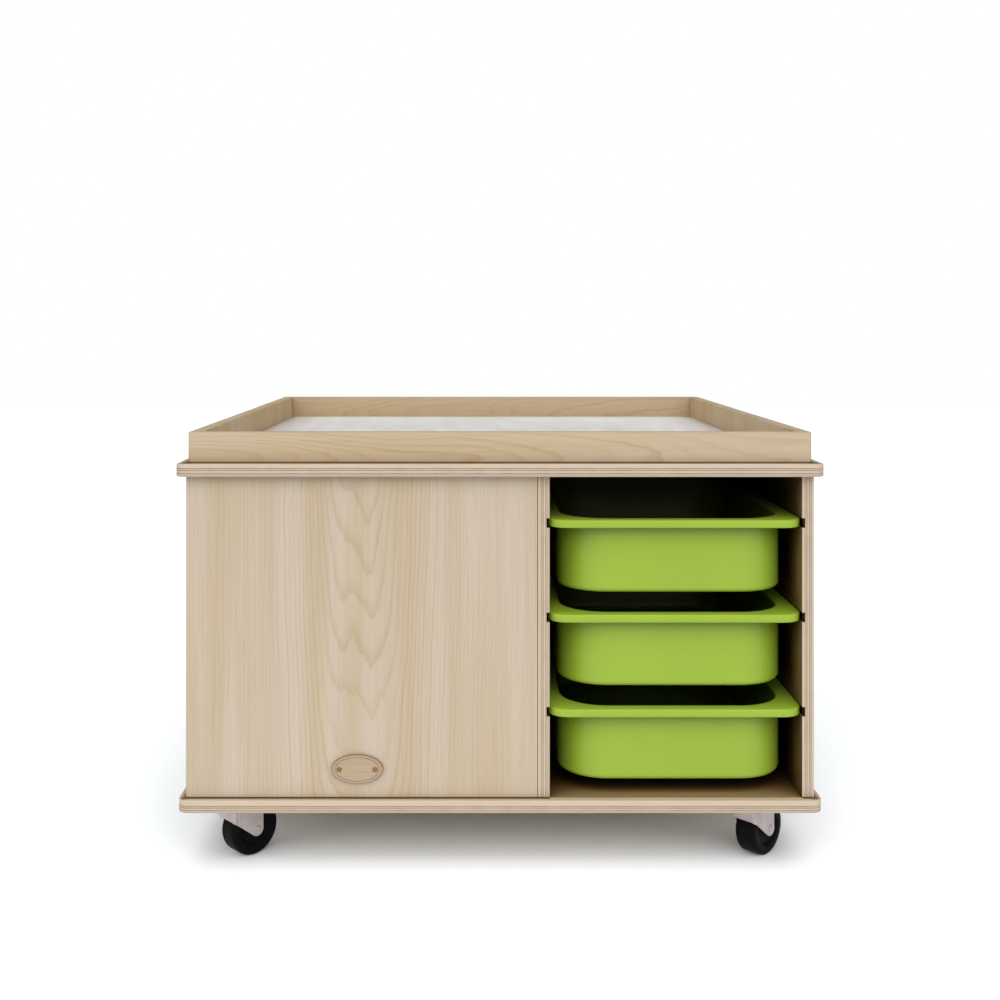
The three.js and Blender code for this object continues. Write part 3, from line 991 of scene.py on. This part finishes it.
def fork_columns():
    """Columns of the bent sheet: (plan place, plan normal, foot height, share of the hood's flare)."""
    mid = FORK_HALF - FORK_SHEET / 2
    bend = FORK_FRONT + FORK_SHEET / 2 + FORK_BEND
    slant_end = -FORK_TIP * math.sqrt(0.5)
    rise = (FORK_FLARE_FOOT - FORK_FOOT_RISE - slant_end) / (bend - slant_end)

    def slant(x):
        return slant_end + rise * (x - slant_end)

    leg = arc((0, 0), FORK_TIP, 0, -135, 9) + [(x, slant(x)) for x in FORK_LEG]
    columns = [((x, -mid), (0, -1), z, 0) for x, z in leg]
    for back, sink in FORK_CREASE:
        columns.append(((bend + back, sink - mid), (0, -1), slant(bend + back), 0))
    bend_points = arc((bend, FORK_BEND - mid), FORK_BEND, 270, 180, FORK_BEND_STEPS)
    for step in range(1, FORK_BEND_STEPS + 1):
        share = step / FORK_BEND_STEPS
        angle = math.radians(270 - 90 * share)
        foot = FORK_FLARE_FOOT - FORK_FOOT_RISE * (1 - share)
        columns.append((bend_points[step], (math.cos(angle), math.sin(angle)), foot, share))
    other_side = [((x, -y), (nx, -ny), foot, flare) for (x, y), (nx, ny), foot, flare in columns]
    return columns + other_side[::-1]


def crown_outline():
    """Plan of the fork's top sheet about the axle: its sheet with the round bearing seat standing out."""
    seat = -joint_offset()
    rear = math.degrees(math.acos((FORK_TIP - seat) / CROWN_RADIUS))
    side = math.degrees(math.asin(FORK_HALF / CROWN_RADIUS))
    half = [(FORK_TIP, FORK_HALF)]
    half += arc((seat, 0), CROWN_RADIUS, side, 180 - side, 8)
    half += arc((FORK_FRONT + FORK_BEND, FORK_HALF - FORK_BEND), FORK_BEND, 90, 180, 5)
    back = arc((seat, 0), CROWN_RADIUS, -rear, rear, 8)
    return back + half + [(x, -y) for x, y in reversed(half)]


def make_fork(corner, place, steel):
    """Stamped fork: two legs and a flared hood bent from one sheet, under a flat crown."""
    crown_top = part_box(f"caster_fork_{corner}")[1].z - place.translation.z
    sheet_top = crown_top - CROWN_SHEET + CROWN_OVERLAP
    flare_height = FORK_FLARE_TOP - FORK_FLARE_FOOT
    loops = []
    for (x, y), (nx, ny), foot, flare in fork_columns():
        heights = [foot + (FORK_FLARE_TOP - foot) * i / FORK_FLARE_STEPS
                   for i in range(FORK_FLARE_STEPS + 1)]
        heights += [(FORK_FLARE_TOP + sheet_top) / 2, sheet_top]
        loop = []
        for side, order in ((FORK_SHEET / 2, heights), (-FORK_SHEET / 2, heights[::-1])):
            for z in order:
                low = max(0.0, FORK_FLARE_TOP - z) / flare_height
                shift = FORK_FLARE * flare * low ** FORK_FLARE_CURVE
                loop.append((x + nx * side + shift, y + ny * side, z))
        loops.append(loop)
    mesh = bmesh.new()
    skin(mesh, loops, place)
    skin(mesh, [level_ring(crown_outline(), z) for z in (crown_top - CROWN_SHEET, crown_top)], place)
    fork = make_piece(f"fork_{corner}", mesh, steel, f"swivel_{corner}",
                      f"caster_fork_{corner}")
    add_bevel(fork, FORK_EASING)


def wheel_profile(radius):
    """(radius, height) of one half of the wheel, from the hub to the middle of the tread."""
    half = [(r, HUB_HALF - depth) for r, depth in HUB_FACE]
    half += [(r, WHEEL_HALF - depth) for r, depth in WHEEL_FACE]
    half += arc((radius - TYRE_ROUND, WHEEL_HALF - TYRE_ROUND), TYRE_ROUND, 90, 0, 6)
    return half + [(radius - depth, WHEEL_HALF - side) for depth, side in TREAD_GROOVE]


def make_wheel(corner, place, rubber):
    """Wheel with a hub, a sunk web and a groove on each shoulder of the tyre."""
    low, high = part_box(f"caster_wheel_{corner}")
    profile = both_sides(wheel_profile((high.z - low.z) / 2))
    mesh = bmesh.new()
    turn_profile(mesh, profile, WHEEL_STEPS, place @ Z_TO_FRONT)
    make_piece(f"wheel_{corner}", mesh, rubber, f"wheel_{corner}",
               f"caster_wheel_{corner}", 40)


def make_axle(corner, place, steel):
    """Riveted axle with a low domed head on each side."""
    seat = FORK_HALF + AXLE_GAP
    half = [(AXLE_TIP, seat + AXLE_RISE)] + dome(AXLE_HEAD, AXLE_RISE, seat, AXLE_ANGLES)
    mesh = bmesh.new()
    turn_profile(mesh, both_sides(half + [(AXLE_SHANK, seat)]), ROUND_STEPS, place @ Z_TO_FRONT)
    make_piece(f"axle_{corner}", mesh, steel, f"swivel_{corner}",
               f"caster_axle_{corner}", 50)


def make_plate(corner, pivot, steel):
    """Top plate with its pressed bearing race."""
    low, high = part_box(f"caster_plate_{corner}")
    half = (high.x - low.x) / 2
    base = high.z - CROWN_SHEET
    centre = Matrix.Translation((pivot.x, pivot.y, 0))
    rings = []
    for reach, height in ((half - PLATE_EDGE, base), (half, base + PLATE_EDGE),
                          (half, high.z - PLATE_EDGE), (half - PLATE_EDGE, high.z)):
        outline = rounded_outline(reach, reach, PLATE_CORNER - (half - reach), 6)
        rings.append(level_ring(outline, height))
    mesh = bmesh.new()
    skin(mesh, rings, centre)
    turn_profile(mesh, shifted(RACE_FOOT, low.z) + shifted(RACE_NECK, base), RACE_STEPS, centre)
    make_piece(f"plate_{corner}", mesh, steel, "table", f"caster_plate_{corner}")


def make_kingpin(corner, pivot, steel):
    """Kingpin with a low head under the race."""
    low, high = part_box(f"caster_kingpin_{corner}")
    head = (high.x - low.x) / 2
    profile = [(KINGPIN_TIP, low.z)]
    profile += [(head * share, low.z + height) for share, height in KINGPIN_HEAD]
    profile += [(KINGPIN_SHANK, profile[-1][1]), (KINGPIN_SHANK, high.z)]
    mesh = bmesh.new()
    turn_profile(mesh, profile, ROUND_STEPS, Matrix.Translation((pivot.x, pivot.y, 0)))
    make_piece(f"kingpin_{corner}", mesh, steel, "table", f"caster_kingpin_{corner}")


def cross_outline(reach, arm):
    """Points round a cross-shaped recess with arms of the given reach and half width."""
    points = []
    for step in range(SCREW_POINTS):
        angle = 360 / SCREW_POINTS * step
        off_arm = math.radians((angle + 45) % 90 - 45)
        radius = min(reach / math.cos(off_arm), arm / max(abs(math.sin(off_arm)), 1e-6))
        turn = math.radians(angle)
        points.append((radius * math.cos(turn), radius * math.sin(turn)))
    return points


def make_caster_screws(corner, pivot, steel):
    """Four pan-head wood screws under each caster plate, with cross recesses."""
    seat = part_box(f"caster_plate_{corner}")[1].z - CROWN_SHEET
    rings = [level_ring(circle(radius, SCREW_POINTS), height) for radius, height in SCREW_HEAD]
    rings += [level_ring(cross_outline(reach, arm), height) for reach, arm, height in SCREW_CROSS]
    half = SCREW_SPACING / 2
    mesh = bmesh.new()
    for sx in (-1, 1):
        for sy in (-1, 1):
            place = Matrix.Translation((pivot.x + sx * half, pivot.y + sy * half, seat))
            turn = SCREW_TURNS[0] * sx + SCREW_TURNS[1] * sy
            head_down = Matrix.Rotation(math.pi, 4, "X") @ Matrix.Rotation(turn, 4, "Z")
            skin(mesh, rings, place @ head_down)
    make_piece(f"caster_screws_{corner}", mesh, steel, "table", smooth_angle=30)


def make_caster(corner, steel, screw_steel, rubber):
    """One caster. Its moving pieces are drawn about the axle, with the swivel axis ahead of it in -X."""
    axle = joint_place(f"caster_roll_{corner}")
    pivot = joint_place(f"caster_swivel_{corner}")
    heading = Matrix.Rotation(math.atan2(axle.y - pivot.y, axle.x - pivot.x), 4, "Z")
    place = Matrix.Translation(axle) @ heading
    make_fork(corner, place, steel)
    make_wheel(corner, place, rubber)
    make_axle(corner, place, steel)
    make_plate(corner, pivot, steel)
    make_kingpin(corner, pivot, steel)
    make_caster_screws(corner, pivot, screw_steel)


# ---------------- plaque

PLAQUE_STEPS = 60
# (inset from the outline, depth behind the face), from the outer edge in past the engraved line
PLAQUE_FACE = ((0, 0.0006), (0.0002, 0.0002), (0.0007, 0), (0.0026, 0), (0.0028, 0.0004),
               (0.0032, 0.0004), (0.0034, 0), (0.008, 0))
PLAQUE_WOOD = (0.1, 0.1, 0.02, 0.003, 21)
PLAQUE_TINT = (0.80, 0.72, 0.62, 1)
PLAQUE_ROUGHNESS = 0.5
PLAQUE_BUMP = 0.00005
BURNT = srgb(104, 74, 46)
# Shares of the oval's reach, and how brown it is there
BURNT_RIM = (0.93, 1.0, 0.0, 0.75)
BURNT_LINE = 0.83
BURNT_SPREAD = (0.0, 0.035, 0.7, 0.0)
RIVET_WALL = 0.0003
RIVET_RISE = 0.0009
RIVET_ANGLES = (20, 40, 60, 80)


def plaque_material(centre, half_width, half_height):
    """Laser-cut wood: the outline and the engraved border are browned."""
    material, tree, shader = new_material("plaque_wood")
    place, (across, _, along) = board_place(tree, centre, Z, Y, X)
    colour, _, height = wood_nodes(tree, place, *PLAQUE_WOOD)
    wide = calc(tree, "POWER", calc(tree, "DIVIDE", along, half_width), 2.0)
    tall = calc(tree, "POWER", calc(tree, "DIVIDE", across, half_height), 2.0)
    reach = calc(tree, "SQRT", calc(tree, "ADD", wide, tall))
    border = remap(tree, distance(tree, reach, BURNT_LINE), *BURNT_SPREAD)
    burnt = calc(tree, "MAXIMUM", remap(tree, reach, *BURNT_RIM), border)
    colour = mix(tree, 1.0, colour, PLAQUE_TINT, "MULTIPLY")
    set_shader(tree, shader, mix(tree, burnt, colour, BURNT), PLAQUE_ROUGHNESS, height, PLAQUE_BUMP)
    return material


def make_plaque(brass):
    """Blank oval plaque with an engraved border line, held by two domed rivets."""
    low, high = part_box("plaque")
    centre = (low + high) / 2
    half_width, half_height = (high.x - low.x) / 2, (high.z - low.z) / 2
    face = low.y
    rings = []
    for inset, depth in ((0, high.y - face),) + PLAQUE_FACE:
        rings.append([(centre.x + (half_width - inset) * x, face + depth,
                       centre.z + (half_height - inset) * z) for x, z in circle(1, PLAQUE_STEPS)])
    mesh = bmesh.new()
    skin(mesh, rings)
    wood = plaque_material(centre, half_width, half_height)
    make_piece("oval_plaque", mesh, wood, "table", "plaque")
    for side in ("left", "right"):
        low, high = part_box(f"rivet_{side}")
        radius = (high.x - low.x) / 2
        profile = [(radius, 0.0), (radius, RIVET_WALL)]
        profile += dome(radius, RIVET_RISE, RIVET_WALL, RIVET_ANGLES)
        seat = Matrix.Translation(((low.x + high.x) / 2, face, (low.z + high.z) / 2))
        mesh = bmesh.new()
        turn_profile(mesh, profile, ROUND_STEPS, seat @ Z_TO_FRONT)
        make_piece(f"rivet_{side}_domed", mesh, brass, "table", f"rivet_{side}", 60)


# ---------------- surroundings

FLOOR_REACH = 8


def make_floor():
    """A wide square of pale floor."""
    mesh = bmesh.new()
    mesh.faces.new([mesh.verts.new((x * FLOOR_REACH, y * FLOOR_REACH, 0))
                    for x, y in ((-1, -1), (1, -1), (1, 1), (-1, 1))])
    data = bpy.data.meshes.new("floor")
    mesh.to_mesh(data)
    mesh.free()
    data.materials.append(floor_material())
    add_object("floor", data)


def main():
    """Builds the camera, the light and every piece."""
    make_camera()
    make_world()
    for name, settings in SUNS.items():
        make_sun(name, *settings)
    bpy.context.scene.view_settings.view_transform = "Standard"

    dress_boards()
    make_flat_panel("top_panel", TOP_PANEL, -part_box("tray_board_front")[0].y)
    bay = (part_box("divider_front")[1].x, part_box("panel_right")[0].x)
    make_flat_panel("bottom_panel", BOTTOM_PANEL, -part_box("panel_front")[0].y, bay)
    for turns, side in enumerate(SIDES):
        make_tray_board(side, turns)
    dress_cad_node("tray_floor", laminate_material(), LAMINATE_EASING)

    plastic = plastic_material()
    for turns, side in enumerate(SIDES):
        for row in ROWS:
            make_tub(f"tub_{side}_{row}", turns, plastic)

    steel = metal_material("caster_steel", *STEEL)
    zinc = metal_material("zinc_screw", *ZINC)
    rubber = rubber_material()
    for corner in CORNERS:
        make_caster(corner, steel, zinc, rubber)

    make_plaque(metal_material("dull_brass", *BRASS))
    make_floor()


main()
